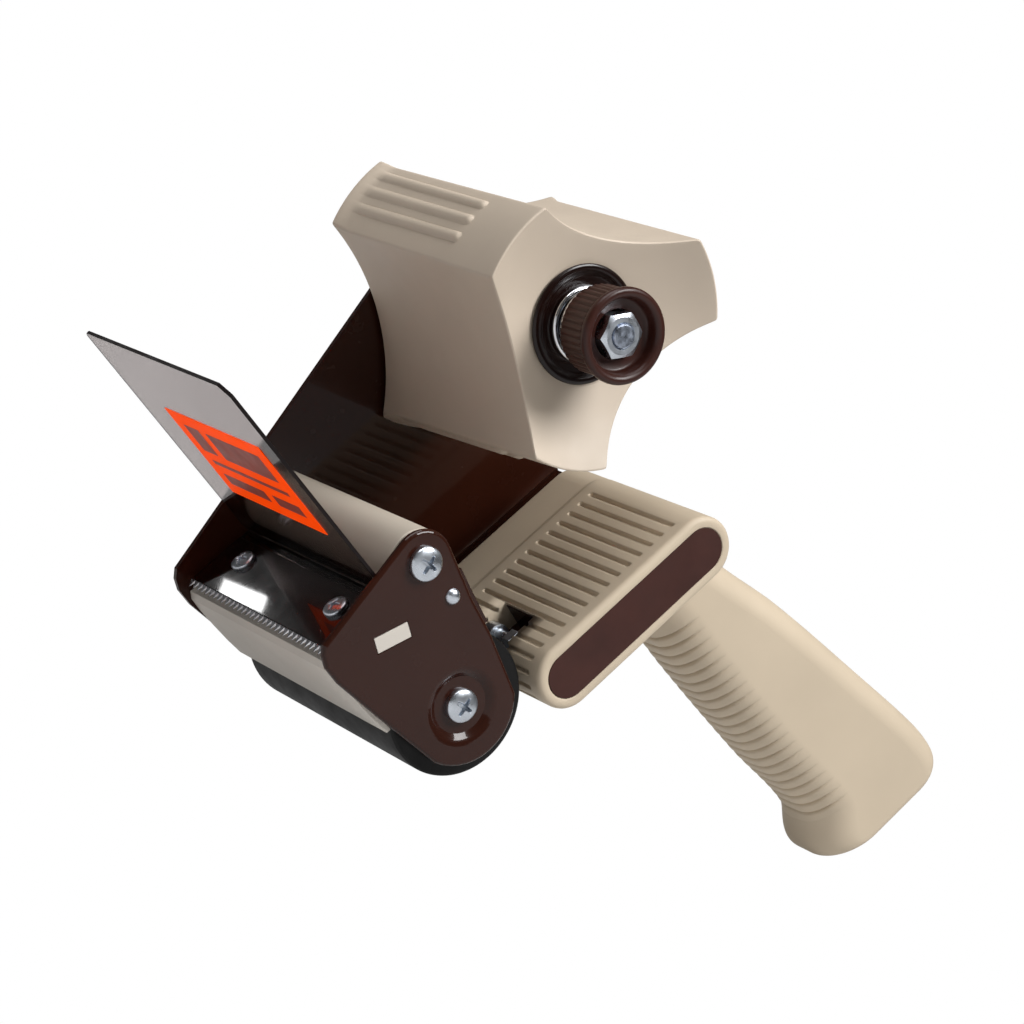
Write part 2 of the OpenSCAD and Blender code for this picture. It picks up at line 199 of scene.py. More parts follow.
def ground_steel():
    finish = Finish("ground_steel", 0.25, metallic=1.0)
    finish.colour(rgb(222, 222, 226), 0.12, 700.0)
    finish.gloss(0.18, 0.35, 900.0)
    finish.grain(3000.0, 0.006, (1, 0.1, 1))
    return finish.material


def black_rubber():
    finish = Finish("black_rubber", 0.5)
    finish.colour(rgb(11, 10, 10), 0.2, 120.0)
    finish.set("Specular IOR Level", 0.3)
    finish.gloss(0.36, 0.5)
    finish.grain(1400.0, 0.02)
    return finish.material


def smoky_sheet():
    finish = Finish("smoky_sheet", 0.06)
    finish.colour(rgb(168, 158, 156), 0.03, 20.0)
    finish.gloss(0.04, 0.09, 60.0)
    finish.grain(90.0, 0.01)
    finish.set("Transmission Weight", 1.0)
    finish.set("IOR", 1.3)
    return finish.material


def smoky_rim():
    finish = Finish("smoky_rim", 0.3)
    finish.colour(rgb(26, 19, 19), 0.15, 80.0)
    finish.gloss(0.25, 0.4)
    finish.set("Specular IOR Level", 0.2)
    finish.grain(300.0, 0.004)
    return finish.material


def orange_film():
    finish = Finish("orange_film", 0.4)
    finish.colour(rgb(255, 100, 16), 0.07, 60.0)
    finish.gloss(0.32, 0.45)
    finish.grain(900.0, 0.006)
    finish.set("Transmission Weight", 0.5)
    finish.set("IOR", 1.05)
    # The film also glows faintly orange: painted light that stands in for light shining through it.
    finish.set("Emission Color", rgb(255, 88, 6))
    finish.set("Emission Strength", 0.22)
    return finish.material


def orange_print():
    finish = Finish("orange_print", 0.45)
    finish.colour(rgb(150, 46, 12), 0.15, 200.0)
    finish.gloss(0.35, 0.5)
    finish.grain(900.0, 0.006)
    return finish.material


def nylon():
    finish = Finish("natural_nylon", 0.45)
    finish.colour(rgb(224, 220, 208), 0.04, 80.0)
    finish.gloss(0.38, 0.5)
    finish.grain(1600.0, 0.01)
    return finish.material


ENAMEL = enamel("maroon_enamel", rgb(48, 21, 12), 0.5)
BLADE_ENAMEL = enamel("blade_enamel", rgb(18, 6, 4), 0.45)
HUB_BEIGE = moulded_beige("hub_beige", rgb(205, 190, 172))
GRIP_BEIGE = moulded_beige("grip_beige", rgb(203, 187, 164))
ROLLER_BEIGE = moulded_beige("roller_beige", rgb(190, 180, 166))
GUIDE_BEIGE = moulded_beige("guide_beige", rgb(212, 205, 195))
KNOB_BROWN = moulded_brown("knob_brown", rgb(54, 25, 18), 0.3, 0.42)
DISC_BROWN = moulded_brown("disc_brown", rgb(24, 9, 6), 0.16, 0.26)
LABEL_BROWN = moulded_brown("label_brown", rgb(62, 32, 26), 0.4, 0.5)
ZINC = plated("bright_zinc", rgb(214, 220, 228), 0.24, 0.38)
WORN = worn_zinc()
CHROME = plated("polished_chrome", rgb(232, 233, 236), 0.06, 0.12)
STEEL = ground_steel()
RUBBER = black_rubber()
SMOKY = smoky_sheet()
RIM = smoky_rim()
ORANGE = orange_film()
PRINT = orange_print()
NYLON = nylon()


# ---------------------------------------------------------------- mesh tools
WELD_REACH = 0.000005


def ring_faces(bm, rings, close_rings=True, close_loop=False):
    """Joins rings of vertices into a skin."""
    count = len(rings[0])
    last = count if close_rings else count - 1
    pairs = list(zip(rings, rings[1:] + rings[:1])) if close_loop else list(zip(rings, rings[1:]))
    for a, b in pairs:
        for i in range(last):
            j = (i + 1) % count
            bm.faces.new((a[i], a[j], b[j], b[i]))


def lathe(bm, profile, at=(0, 0), turns=128):
    """Turns a closed profile of (radius, y) round a line along Y."""
    wheel(bm, lambda angle: profile, [360 * i / turns for i in range(turns)], at)


def wheel(bm, profile_at, angles, at=(0, 0)):
    """Like lathe, with a profile that may differ at each angle."""
    rings = []
    for angle in angles:
        x, z = turned(angle)
        rings.append([bm.verts.new((at[0] + r * x, y, at[1] + r * z)) for r, y in profile_at(angle)])
    ring_faces(bm, rings, close_loop=True)
    bmesh.ops.remove_doubles(bm, verts=bm.verts, dist=0.0004)


def soften(points, cut, steps=4):
    """Rounds the corners of a closed outline, starting each curve cut away from its corner."""
    soft = []
    for i, point in enumerate(points):
        corner = Vector(point)
        arms = [Vector(points[i - 1]) - corner, Vector(points[(i + 1) % len(points)]) - corner]
        reach = min(cut, arms[0].length * 0.48, arms[1].length * 0.48)
        start, end = [corner + arm.normalized() * reach for arm in arms]
        for k in range(steps + 1):
            t = k / steps
            soft.append(tuple(start * (1 - t) ** 2 + corner * 2 * t * (1 - t) + end * t * t))
    return soft


def finish_mesh(name, bm, material, smooth=40):
    bmesh.ops.recalc_face_normals(bm, faces=bm.faces)
    mesh = bpy.data.meshes.new(name)
    bm.to_mesh(mesh)
    bm.free()
    mesh.transform(GUN)
    mesh.shade_smooth()
    mesh.set_sharp_from_angle(angle=math.radians(smooth))
    mesh.materials.append(material)
    obj = bpy.data.objects.new(name, mesh)
    bpy.context.scene.collection.objects.link(obj)
    return obj


def soft_edges(obj, width, angle=35, segments=3):
    bevel = obj.modifiers.new("edges", "BEVEL")
    bevel.width = width / 1000
    bevel.segments = segments
    bevel.limit_method = "ANGLE"
    bevel.angle_limit = math.radians(angle)
    even_shading(obj)


def even_shading(obj):
    normals = obj.modifiers.new("normals", "WEIGHTED_NORMAL")
    normals.keep_sharp = True
    normals.weight = 60


def piece(name, bm, material, body, node, smooth=40):
    obj = finish_mesh(name, bm, material, smooth)
    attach(obj, body)
    if node:
        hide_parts(node)
    return obj


def dress(node, material, width=0.25):
    """Gives a CAD node its material and soft edges."""
    obj = frame["nodes"][node]
    obj.data.materials.clear()
    obj.data.materials.append(material)
    weld = obj.modifiers.new("weld", "WELD")
    weld.merge_threshold = WELD_REACH
    flat = obj.modifiers.new("flat faces", "DECIMATE")
    flat.decimate_type = "DISSOLVE"
    flat.angle_limit = math.radians(0.6)
    soft_edges(obj, width)


def apply_modifiers(obj):
    evaluated = obj.evaluated_get(bpy.context.evaluated_depsgraph_get())
    mesh = bpy.data.meshes.new_from_object(evaluated)
    obj.modifiers.clear()
    obj.data = mesh


def carve(obj, cutter):
    """Cuts one object out of another and drops the cutter."""
    cut = obj.modifiers.new("cut", "BOOLEAN")
    cut.operation = "DIFFERENCE"
    cut.solver = "EXACT"
    cut.object = cutter
    bpy.context.view_layer.update()
    apply_modifiers(obj)
    bpy.data.objects.remove(cutter)


def block_of(bm, low, high):
    """Box between two opposite corners."""
    xs, ys, zs = zip(low, high)
    verts = [bm.verts.new((x, y, z)) for x in xs for y in ys for z in zs]
    for quad in ((0, 1, 3, 2), (4, 6, 7, 5), (0, 4, 5, 1), (2, 3, 7, 6), (0, 2, 6, 4), (1, 5, 7, 3)):
        bm.faces.new([verts[i] for i in quad])


# ---------------------------------------------------------------- tape hub
# The hub's walls follow the CAD's.
HUB_NEAR = -37.8
HUB_FAR = 37.8
NEAR_RADIUS = 36.8
FAR_RADIUS = 39.0
WAIST = 22.5
HALF_LOBE = 17.2
LOBES = [103, 223, 343]
HUB_WALL = 2.6
BOWL_DEPTH = 10.8
BOWL_BALL = (NEAR_RADIUS ** 2 + BOWL_DEPTH ** 2) / (2 * BOWL_DEPTH)
BOWL_CENTRE = HUB_NEAR + BOWL_DEPTH - BOWL_BALL


def bowl(radius, grow=0.0):
    """How far along the axis the dished face lies at a radius."""
    return BOWL_CENTRE + math.sqrt((BOWL_BALL + grow) ** 2 - radius ** 2)


def lobe_outline(angle, y, grow=0.0):
    """Radius of the hub's wall at an angle and a distance along the axis."""
    cone = NEAR_RADIUS + (FAR_RADIUS - NEAR_RADIUS) * (y - HUB_NEAR) / (HUB_FAR - HUB_NEAR) + grow
    cone += 1.5 * smoothstep(HUB_FAR - 6.5, HUB_FAR - 0.5, y)
    rim = (NEAR_RADIUS + FAR_RADIUS) / 2
    reach = (rim ** 2 - WAIST ** 2) / (2 * (rim * math.cos(math.radians(60 - HALF_LOBE)) - WAIST))
    hollow_radius = reach - WAIST - grow
    off = min(abs((angle - lobe - 60 + 180) % 360 - 180) for lobe in LOBES)
    across = reach * math.cos(math.radians(off))
    under = across ** 2 - reach ** 2 + hollow_radius ** 2
    if under <= 0:
        return cone
    hollow = across - math.sqrt(under)
    blend = 0.45
    return -blend * math.log(math.exp(-cone / blend) + math.exp(-hollow / blend))


def hub_rib(angle, y):
    """Height of the three rounded ribs on each lobe."""
    tallest = 0.0
    for lobe in LOBES:
        for step in (-8.2, 0, 8.2):
            off = math.radians((angle - lobe + 2 - step + 180) % 360 - 180) * 38
            along = min(y + 15.7, 0.0)
            away = math.hypot(off, along) / 1.55
            if away < 1:
                tallest = max(tallest, 0.95 * (1 - away ** 2) ** 0.7)
    return tallest * (1 - smoothstep(28.0, 34.5, y))


def hub_profile(angle):
    rim, inner_rim = 30.0, 26.0
    for _ in range(4):
        rim = lobe_outline(angle, bowl(rim))
        inner_rim = lobe_outline(angle, bowl(inner_rim, HUB_WALL), -HUB_WALL)
    lip = bowl(rim)
    face = [(r, bowl(r)) for r in spread(5.0, rim - 1.0, 9)]
    corner = [Vector((rim - 1.0, bowl(rim - 1.0))), Vector((rim, lip)), Vector((rim, lip + 1.0))]
    round_over = []
    for t in (0.3, 0.6, 0.85):
        point = corner[0] * (1 - t) ** 2 + corner[1] * 2 * t * (1 - t) + corner[2] * t * t
        round_over.append((point.x, point.y))
    rows = spread(lip + 1.0, -17.6, 6) + [-17.2, -16.9, -16.5, -16.0, -15.4, -14.6, -10, 0, 10, 20]
    rows += [30, 32, 33.5, 35, 36.4, 37.3]
    wall = [(lobe_outline(angle, y) + hub_rib(angle, y), y) for y in rows]
    end = [(lobe_outline(angle, HUB_FAR) - 0.5, HUB_FAR), (lobe_outline(angle, 30, -HUB_WALL), HUB_FAR)]
    inside_rows = spread(HUB_FAR - 0.6, bowl(inner_rim, HUB_WALL), 5)
    inside = [(lobe_outline(angle, min(y, 30), -HUB_WALL), y) for y in inside_rows]
    back = [(r, bowl(r, HUB_WALL)) for r in spread(inner_rim - 0.5, 8.0, 5)]
    boss = [(8.0, 10.0), (8.0, 32.6), (7.6, 33.0), (5.0, 33.0), (5.0, 0.0)]
    return face + round_over + wall + end + inside + back + boss


def hub_angles():
    """Fine steps over the lobes and coarse ones over the hollow sides."""
    angles = []
    for lobe in LOBES:
        angles += spread(lobe - 20, lobe + 20, 110)[:-1]
        angles += spread(lobe + 20, lobe + 100, 44)[:-1]
    return [a % 360 for a in angles]


def make_hub():
    bm = bmesh.new()
    wheel(bm, hub_profile, hub_angles())
    hub = piece("tape_hub", bm, HUB_BEIGE, "hub", "core_hub", 30)
    even_shading(hub)


# ---------------------------------------------------------------- brake and knob
def make_disc():
    profile = soften([(3.3, -27.5), (3.3, -29.4), (12.6, -29.5), (14.2, -30.25), (15.1, -30.25),
                      (15.7, -29.9), (15.7, -29.35), (12.0, -28.45), (7.0, -27.65)], 0.35, 3)
    bm = bmesh.new()
    lathe(bm, profile)
    disc = piece("brake_disc_dish", bm, DISC_BROWN, "frame", "brake_disc")
    even_shading(disc)


def make_spring():
    """Open coil with closed ends."""
    start, end, wire, radius = -30.15, -36.75, 0.8, 9.4
    turns, rings, sides = 2.5, 220, 16
    bm = bmesh.new()
    loops = []
    for k in range(rings + 1):
        t = k / rings
        x, z = turned(360 * turns * t)
        y = start + (end - start) * smoothstep(0.04, 0.96, t)
        loop = []
        for s in range(sides):
            a = 2 * math.pi * s / sides
            r = radius + wire * math.cos(a)
            loop.append(bm.verts.new((r * x, y + wire * math.sin(a), r * z)))
        loops.append(loop)
    ring_faces(bm, loops)
    bm.faces.new(loops[0])
    bm.faces.new(loops[-1])
    spring = finish_mesh("coil_spring", bm, CHROME)
    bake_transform(spring)
    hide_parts("brake_spring")


def knurl(angle):
    """Height of one of the forty ridges round the knob's body."""
    return 0.42 * (0.5 + 0.5 * math.cos(math.radians(angle * 40))) ** 0.6


def knob_profile(angle):
    ridge = knurl(angle)
    body = 11.2
    return [(3.4, -38.45), (10.65, -38.45), (10.65, -35.75), (10.8, -35.6), (11.0, -35.6),
            (body + ridge * 0.4, -35.8), (body + ridge, -36.3), (body + ridge, -44.6),
            (body + ridge * 0.4, -45.2), (11.1, -45.5), (11.6, -45.8), (12.2, -46.0),
            (12.5, -46.5), (12.5, -47.3), (12.3, -47.9), (11.8, -48.3), (11.2, -48.4),
            (10.6, -48.2), (10.1, -47.8), (9.8, -47.2), (9.7, -46.4), (9.6, -45.2), (9.4, -44.6),
            (8.9, -44.25), (6.6, -44.2), (6.5, -44.0), (6.5, -41.5), (3.4, -41.5), (3.4, -40.0)]


def make_knob():
    bm = bmesh.new()
    wheel(bm, knob_profile, spread(0, 360, 481)[:-1])
    knob = piece("knurled_knob", bm, KNOB_BROWN, "knob", "knob", 50)
    even_shading(knob)


def hex_nut(name, y0, y1, width, bore, body, node):
    """Chamfered hex nut with its axis along Y."""
    half = width / 2
    face = half * 0.88

    def profile(angle):
        off = (angle + 30) % 60 - 30
        flat = half / math.cos(math.radians(off))
        drop = (flat - face) * 0.55
        return [(bore + 0.35, y0), (face, y0), (flat, y0 + drop), (flat, y1 - drop),
                (face, y1), (bore + 0.35, y1), (bore, y1 - 0.35), (bore, y0 + 0.35)]
    bm = bmesh.new()
    wheel(bm, profile, spread(0, 360, 121)[:-1])
    nut = piece(name, bm, ZINC, body, node, 28)
    even_shading(nut)


# ---------------------------------------------------------------- screws
def cross_screw(name, at, y, side, radius, height, node):
    """Domed pan head with a cross recess, facing -Y for side -1."""
    recess = radius * 0.56
    width = radius * 0.13

    def surface(u, v):
        r = math.hypot(u, v)
        dome = height * (0.42 + 0.58 * math.sqrt(max(0.0, 1 - (r / (radius * 1.02)) ** 2)))
        arm = min(abs(u), abs(v))
        along = max(abs(u), abs(v))
        room = min(width * (1.15 - 0.5 * along / recess) - arm, (recess - along) * 0.7)
        return dome - 0.75 * height * smoothstep(-0.05, 0.3, room)
    bm = bmesh.new()
    radii = spread(0.05, radius * 0.62, 34) + spread(radius * 0.66, radius * 0.97, 9)
    loops = []
    for r in radii:
        loop = []
        for i in range(144):
            x, z = turned(i * 2.5 + 20)
            h = surface(r * math.cos(math.radians(i * 2.5)), r * math.sin(math.radians(i * 2.5)))
            loop.append(bm.verts.new((at[0] + r * x, y + side * h, at[1] + r * z)))
        loops.append(loop)
    for r, h in ((radius, height * 0.42), (radius, height * 0.15), (radius * 0.98, 0.0)):
        ring = [turned(i * 2.5 + 20) for i in range(144)]
        loops.append([bm.verts.new((at[0] + r * x, y + side * h, at[1] + r * z)) for x, z in ring])
    ring_faces(bm, loops)
    bm.faces.new(loops[0])
    bm.faces.new(loops[-1])
    head = piece(name, bm, ZINC, "frame", node, 60)
    even_shading(head)


def blade_screw(name, y, node):
    """The same head, drawn lying on the blade plate."""
    cross_screw(name, (0, 0), 0.0, -1, 3.4, 1.8, node)
    obj = bpy.data.objects[name]
    lay_down = Matrix.Translation((-94.6, y, -17.3)) @ Matrix.Rotation(-math.pi / 2, 4, "X")
    obj.data.transform(GUN @ lay_down @ GUN.inverted())


def make_screws():
    radius, height = 4.5, 2.6
    for name, at, near_face in (("upper", UPPER_AT, CHEEK_FACE), ("lower", LOWER_AT, DISH_FLOOR)):
        node = name + "_axle_screws"
        cross_screw(name + "_screw_near", at, near_face, -1, radius, height, node)
        cross_screw(name + "_screw_far", at, -CHEEK_FACE, 1, radius, height, node)
    blade_screw("blade_screw_near", -24.6, "blade_screws")
    blade_screw("blade_screw_far", 24.6, "blade_screws")


# ---------------------------------------------------------------- blade
BLADE_TOP = -17.3
TEETH = 33
BLADE_HALF = 37.0


def make_blade():
    outline = [(-105.6, -BLADE_HALF), (-105.6, BLADE_HALF), (-88.2, BLADE_HALF), (-88.2, -BLADE_HALF)]
    bm = bmesh.new()
    top = [bm.verts.new((x, y, BLADE_TOP)) for x, y in outline]
    low = [bm.verts.new((x, y, BLADE_TOP - 0.8)) for x, y in outline]
    bm.faces.new(top)
    bm.faces.new(low)
    ring_faces(bm, [top, low])
    plate = piece("blade_plate", bm, BLADE_ENAMEL, "frame", "cutting_blade")
    soft_edges(plate, 0.2)


def make_teeth():
    """Ground teeth: each has a ridge on top and slopes down to its tip."""
    bm = bmesh.new()
    pitch = 2 * BLADE_HALF / TEETH
    root, tip, low = -105.7, -107.7, BLADE_TOP - 0.75
    gap, shoulder = 0.12, BLADE_TOP - 0.02
    for i in range(TEETH):
        left = -BLADE_HALF + i * pitch
        middle = left + pitch / 2
        first, last = left + gap, left + pitch - gap
        places = [(root, first, shoulder), (root, middle, BLADE_TOP), (root, last, shoulder),
                  (tip, middle, low), (root, first, low), (root, last, low)]
        a, ridge, b, point, a_low, b_low = [bm.verts.new(place) for place in places]
        for face in ((a, ridge, point), (ridge, b, point), (a_low, a, point), (b, b_low, point),
                     (b_low, a_low, point), (a, a_low, b_low, b, ridge)):
            bm.faces.new(face)
    piece("blade_teeth", bm, STEEL, "frame", "cutting_blade", 10)


# ---------------------------------------------------------------- flap
FLAP_HALF = 38.0
FLAP_HEIGHT = 74.6
FLAP_THICK = 1.0
FLAP_LEAN = math.radians(-4.9)
FOLD_AT = (-85.0, -18.1)


def on_flap(height, out):
    """Point in the side view at a height up the flap, and out from its middle rearwards."""
    c, s = math.cos(FLAP_LEAN), math.sin(FLAP_LEAN)
    return FOLD_AT[0] + height * s + out * c, FOLD_AT[1] + height * c - out * s


def make_flap():
    corner = 3.2
    columns = [-FLAP_HALF, -FLAP_HALF + corner, -30, -15, 0, 15, 30, FLAP_HALF - 1.2, FLAP_HALF]
    heights = [0.6, 1.2, 2.0, 3.0, 4.5, 6.5, 9, 12, 16, 30, 45, 60, 70]
    bm = bmesh.new()
    sides = []
    for out in (-FLAP_THICK / 2, FLAP_THICK / 2):
        grid = []
        for y in columns:
            top = FLAP_HEIGHT
            if y == columns[0]:
                top = FLAP_HEIGHT - corner
            if y == columns[-1]:
                top = FLAP_HEIGHT - 1.0
            column = []
            for h in heights + [top]:
                thin = min(1.0, 0.55 + 0.45 * (h - 0.6) / 2.4)
                x, z = on_flap(h, out * thin)
                column.append(bm.verts.new((x, y, z)))
            grid.append(column)
        ring_faces(bm, grid, close_rings=False)
        sides.append(grid)
    front, back = sides
    ring_faces(bm, [front[0], back[0]], close_rings=False)
    ring_faces(bm, [front[-1], back[-1]], close_rings=False)
    ring_faces(bm, [[c[0] for c in front], [c[0] for c in back]], close_rings=False)
    ring_faces(bm, [[c[-1] for c in front], [c[-1] for c in back]], close_rings=False)
    flap = finish_mesh("flap_sheet", bm, SMOKY)
    soft_edges(flap, 0.15, 50, 2)
    apply_modifiers(flap)
    up = FLAP_LEAN + LEAN
    through = Vector((math.cos(up), 0, -math.sin(up)))
    flap.data.materials.append(RIM)
    for face in flap.data.polygons:
        if abs(face.normal.dot(through)) < 0.8:
            face.material_index = 1
    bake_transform(flap)
    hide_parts("flap_leaf")


def make_print():
    """Plain bars that stand for the label's printing."""
    bm = bmesh.new()
    bars = [(-24, -10, 25.5, 29.5), (-6, 16, 25.5, 29.5), (-24, 16, 33, 34.6), (-24, 4, 38, 47.5),
            (8, 16, 38, 47.5)]
    for y0, y1, h0, h1 in bars:
        loop = []
        for y, h in ((y0, h0), (y1, h0), (y1, h1), (y0, h1)):
            x, z = on_flap(h, -FLAP_THICK / 2 - 0.23)
            loop.append(bm.verts.new((x, y, z)))
        under = []
        for y, h in ((y0, h0), (y1, h0), (y1, h1), (y0, h1)):
            x, z = on_flap(h, -FLAP_THICK / 2 - 0.19)
            under.append(bm.verts.new((x, y, z)))
        bm.faces.new(loop)
        bm.faces.new(under)
        ring_faces(bm, [loop, under])
    piece("label_bars", bm, PRINT, "flap", None)


# ---------------------------------------------------------------- handle block
BLOCK_RADIUS = 9.15
BLOCK_TOP = -60.0
BLOCK_MID = BLOCK_TOP - BLOCK_RADIUS
BLOCK_RUN = 50.2
BLOCK_REAR = 2 - BLOCK_RADIUS
BLOCK_NEAR = CHEEK_FACE
BLOCK_FAR = 22.6
GROOVE_PITCH = 4.05
FIRST_GROOVE = 1.8


def stadium(along):
    """Point and outward direction on the block's outline, from the top's rear end forwards."""
    arc = math.pi * BLOCK_RADIUS
    if along < BLOCK_RUN:
        return Vector((BLOCK_REAR - along, BLOCK_TOP)), Vector((0, 1))
    if along < BLOCK_RUN + arc:
        out = Vector(turned(90 + math.degrees((along - BLOCK_RUN) / BLOCK_RADIUS)))
        return Vector((BLOCK_REAR - BLOCK_RUN, BLOCK_MID)) + out * BLOCK_RADIUS, out
    if along < 2 * BLOCK_RUN + arc:
        back = along - BLOCK_RUN - arc
        return Vector((BLOCK_REAR - BLOCK_RUN + back, BLOCK_MID - BLOCK_RADIUS)), Vector((0, -1))
    out = Vector(turned(-90 + math.degrees((along - 2 * BLOCK_RUN - arc) / BLOCK_RADIUS)))
    return Vector((BLOCK_REAR, BLOCK_MID)) + out * BLOCK_RADIUS, out


def groove(along, y):
    """Depth of the finger grooves across the block's top and front."""
    number = round((along - FIRST_GROOVE) / GROOVE_PITCH)
    if number < 0 or number > 17:
        return 0.0
    off = along - FIRST_GROOVE - number * GROOVE_PITCH
    past = max(-35.0 - y, y - 2.4, 0.0)
    away = math.hypot(off, past) / 0.58
    return 0.85 * math.exp(-away ** 4)


def make_block():
    grooved = FIRST_GROOVE + 17.6 * GROOVE_PITCH
    total = 2 * BLOCK_RUN + 2 * math.pi * BLOCK_RADIUS
    places = spread(0, grooved, 330)[:-1] + spread(grooved, total, 70)[:-1]
    rows = [-38.5, -36.6, -36.2, -35.8, -35.4, -35.0, -34.5, -33, -28, -20, -10, -2, 1.2, 2.0, 2.4,
            2.8, 3.2, 3.6, 4.2, 6.6, 7.4, 8.0, 8.8, 14, 21.6]
    bm = bmesh.new()

    def loop(y, inset, cut=0.0):
        ring = []
        for along in places:
            point, out = stadium(along)
            step = 0.35 * smoothstep(6.6, 8.4, y) * smoothstep(0.3, 0.9, out.y)
            place = point - out * (inset + cut * groove(along, y) + step)
            ring.append(bm.verts.new((place.x, y, place.y)))
        return ring
    rings = [loop(BLOCK_NEAR + 1.0, 3.0), loop(BLOCK_NEAR + 0.25, 2.9), loop(BLOCK_NEAR, 2.6),
             loop(BLOCK_NEAR, 1.5), loop(BLOCK_NEAR + 0.12, 0.9), loop(BLOCK_NEAR + 0.45, 0.4),
             loop(BLOCK_NEAR + 0.9, 0.12), loop(BLOCK_NEAR + 1.5, 0.0)]
    rings += [loop(y, 0.0, 1.0) for y in rows]
    rings += [loop(BLOCK_FAR - 0.3, 0.25), loop(BLOCK_FAR, 1.0)]
    ring_faces(bm, rings)
    bm.faces.new(rings[0])
    bm.faces.new(rings[-1])
    block = finish_mesh("handle_block", bm, GRIP_BEIGE, 45)
    notch = bmesh.new()
    block_of(notch, (-70, -23, -67.5), (-50.3, -8.8, -50))
    carve(block, finish_mesh("notch", notch, GRIP_BEIGE))
    hole = bmesh.new()
    lathe(hole, [(0.0, -30), (2.1, -30), (2.1, -4), (0.0, -4)], (-58.4, -63.6), 32)
    carve(block, finish_mesh("bolt_hole", hole, GRIP_BEIGE))
    even_shading(block)
    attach(block, "frame")
    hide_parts("handle")


# ---------------------------------------------------------------- pistol grip
GRIP_LEVELS = [(-70, -21.5, 0), (-100, -18.2, 9.8), (-122, -16, 18.4), (-160, -10.4, 30),
               (-188, -5.2, 38), (-198, -8.8, 39.4), (-202, -8.2, 38.4), (-204.6, -4, 35)]
GRIP_HALF = 15.0
FRONT_ROUND = 12.0
BACK_ROUND = 8.5
RIB_PITCH = 3.93
FIRST_RIB = -106
TOE = -202.6
TOE_ROUND = 2.0


def grip_sides(z):
    """Front and back of the grip at a height, on a smooth curve through its levels."""
    for i in range(len(GRIP_LEVELS) - 1):
        upper, lower = GRIP_LEVELS[i], GRIP_LEVELS[i + 1]
        if lower[0] <= z:
            break
    before = GRIP_LEVELS[max(i - 1, 0)]
    after = GRIP_LEVELS[min(i + 2, len(GRIP_LEVELS) - 1)]
    span = lower[0] - upper[0]
    t = (z - upper[0]) / span
    sides = []
    for k in (1, 2):
        rise_a = (lower[k] - before[k]) / (lower[0] - before[0]) * span
        rise_b = (after[k] - upper[k]) / (after[0] - upper[0]) * span
        sides.append((2 * t ** 3 - 3 * t ** 2 + 1) * upper[k] + (t ** 3 - 2 * t ** 2 + t) * rise_a
                     + (3 * t ** 2 - 2 * t ** 3) * lower[k] + (t ** 3 - t ** 2) * rise_b)
    return sides


def finger_rib(out_x, y, z):
    """Depth of the grooves between the curved finger ribs on the grip's front."""
    level = z - 0.0075 * (7 - y) ** 2
    phase = (FIRST_RIB - level) / RIB_PITCH
    if phase < -0.2 or phase > 21.8:
        return 0.0
    down = phase - math.floor(phase)
    away = abs(2 * down - 1)
    return (1.1 * away ** 6 + 0.25 * away ** 2) * (1 - smoothstep(2.5, 12.0, out_x))


def grip_ring(bm, z):
    front, back = grip_sides(z)
    under = max(0.0, TOE - z)
    pull = TOE_ROUND - math.sqrt(max(0.0, TOE_ROUND ** 2 - under ** 2))
    half = GRIP_HALF - pull
    corners = [(front + pull * 0.3 + FRONT_ROUND, -half + FRONT_ROUND, FRONT_ROUND, 180, 30),
               (back - pull * 0.3 - BACK_ROUND, -half + BACK_ROUND, BACK_ROUND, 270, 12),
               (back - pull * 0.3 - BACK_ROUND, half - BACK_ROUND, BACK_ROUND, 0, 12),
               (front + pull * 0.3 + FRONT_ROUND, half - FRONT_ROUND, FRONT_ROUND, 90, 30)]
    ring = []
    for x, y, radius, start, steps in corners:
        for k in range(steps + 1):
            out = Vector(turned(start + 90 * k / steps))
            px, py = x + radius * out.x, y + radius * out.y
            depth = finger_rib(px - front, py, z)
            ring.append(bm.verts.new((px - out.x * depth, py - out.y * depth, z)))
    flat = half - FRONT_ROUND
    for y in spread(flat, -flat, 10)[1:-1]:
        ring.append(bm.verts.new((front + pull * 0.3 + finger_rib(0, y, z), y, z)))
    return ring


def make_grip():
    levels = spread(-70.5, -98, 14)[:-1] + spread(-98, -194, 420)[:-1]
    levels += spread(-194, -204.5, 26) + [-204.6]
    bm = bmesh.new()
    rings = [grip_ring(bm, z) for z in levels]
    ring_faces(bm, rings)
    bm.faces.new(rings[0])
    bm.faces.new(rings[-1])
    grip = piece("pistol_grip", bm, GRIP_BEIGE, "frame", "handle", 50)
    even_shading(grip)


# ---------------------------------------------------------------- frame details
def make_stud():
    """Small domed stud on the near cheek under the upper screw."""
    profile = [(0.0, -41.9), (0.9, -41.8), (1.6, -41.5), (2.0, -41.0), (2.1, -40.6), (0.0, -40.4)]
    bm = bmesh.new()
    lathe(bm, profile, (-72.4, -27.5), 48)
    piece("cheek_stud", bm, ZINC, "frame", None, 60)


def make_notch_shade_liner():
    """Dark enamelled steel in the notch of the block: the floor stands for the steel flange under the
    block, and the floor and rear wall are also painted shade that keeps the notch dark.
    """
    bm = bmesh.new()
    block_of(bm, (-66.2, -22.9, -67.45), (-50.4, -8.9, -67.1))
    block_of(bm, (-50.65, -22.9, -67.45), (-50.4, -8.9, -60.8))
    liner = piece("notch_liner", bm, ENAMEL, "frame", None)
    soft_edges(liner, 0.1)


def make_bend():
    """Rounded inside corner between the side plate and the flange under the block."""
    bm = bmesh.new()
    loops = []
    for x in (-59.9, -0.1):
        points = [(39.1, -65.6), (39.1, -69.4), (35.4, -69.4)]
        for t in spread(0, 1, 9):
            points.append((35.4 + 3.6 * (1 - (1 - t) ** 2), -69.35 + 3.7 * t ** 2))
        loops.append([bm.verts.new((x, y, z)) for y, z in points])
    ring_faces(bm, loops)
    bm.faces.new(loops[0])
    bm.faces.new(loops[1])
    piece("flange_bend", bm, ENAMEL, "frame", None, 40)


ROLLED_EDGE = 0.001


